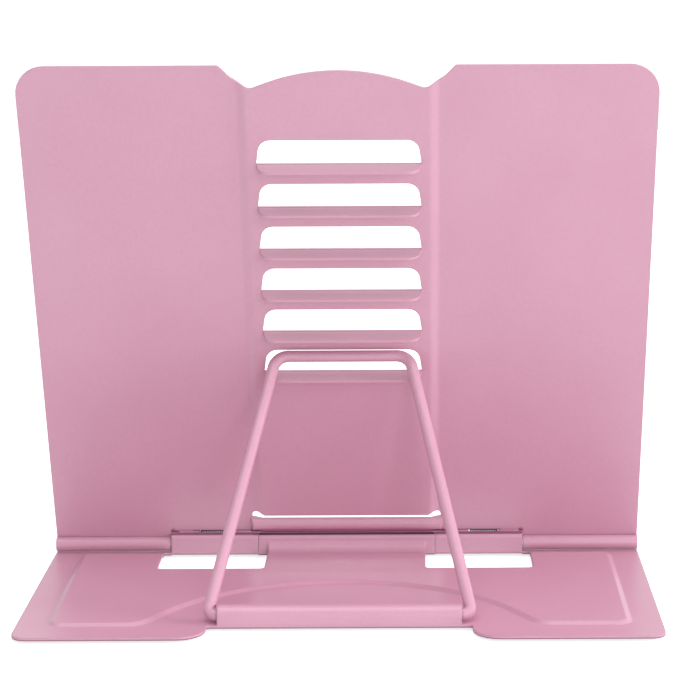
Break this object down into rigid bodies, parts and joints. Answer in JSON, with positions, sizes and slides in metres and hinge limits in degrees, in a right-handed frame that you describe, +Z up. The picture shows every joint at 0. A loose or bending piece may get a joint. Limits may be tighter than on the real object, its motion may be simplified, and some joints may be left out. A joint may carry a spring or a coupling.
{
  "type": "folding bookstand",
  "caption": "Folding desktop bookstand of pale rose sheet steel: slotted back plate held by a wire prop on a hinged base, with a front ledge and sprung page clips.",
  "frame": {"origin": "middle of the footprint, on the surface that the stand rests on", "axes": "+X along the hinge towards the reader's right, +Y from the reader to the rear, +Z up"},
  "size_m": [0.215, 0.1314, 0.1848],
  "materials": {
    "powder_coat": "smooth satin powder coat",
    "coated_wire": "smooth satin powder coat on drawn wire",
    "pin_steel": "bright zinc plating",
    "spring_steel": "oiled spring wire",
    "grip_rubber": "matt silicone rubber",
    "foot_rubber": "matt silicone rubber"
  },
  "bodies": {
    "base": {"base_plate": "powder_coat", "hinge_pin": "pin_steel", "left_clip_pin": "pin_steel", "right_clip_pin": "pin_steel", "left_clip_spring": "spring_steel", "right_clip_spring": "spring_steel", "front_left_foot_pad": "foot_rubber", "front_right_foot_pad": "foot_rubber", "rear_left_foot_pad": "foot_rubber", "rear_right_foot_pad": "foot_rubber"},
    "plate": {"back_plate": "powder_coat"},
    "prop": {"prop_wire": "coated_wire"},
    "left_clip": {"left_page_clip": "powder_coat", "left_grip_pad": "grip_rubber"},
    "right_clip": {"right_page_clip": "powder_coat", "right_grip_pad": "grip_rubber"}
  },
  "joints": [
    {"name": "back_tilt", "type": "hinge", "parent": "base", "child": "plate", "pos_m": [0, -0.0347, 0.0051], "axis": [1, 0, 0], "range_deg": [0, 36]},
    {"name": "prop_swing", "type": "hinge", "parent": "base", "child": "prop", "pos_m": [0, 0.05, 0.0048], "axis": [-1, 0, 0], "range_deg": [0, 128]},
    {"name": "left_clip_open", "type": "hinge", "parent": "base", "child": "left_clip", "pos_m": [-0.0514, -0.0631, 0.0038], "axis": [1, 0, 0], "range_deg": [0, 75], "stiffness_Nm_per_rad": 0.012, "springref_deg": -68.75, "deforming": ["left_clip_spring"]},
    {"name": "right_clip_open", "type": "hinge", "parent": "base", "child": "right_clip", "pos_m": [0.0514, -0.0631, 0.0038], "axis": [1, 0, 0], "range_deg": [0, 75], "stiffness_Nm_per_rad": 0.012, "springref_deg": -68.75, "deforming": ["right_clip_spring"]}
  ],
  "couplings": [
    {"joint": "prop_swing", "follows": "back_tilt", "ratio": 3.5555}
  ]
}
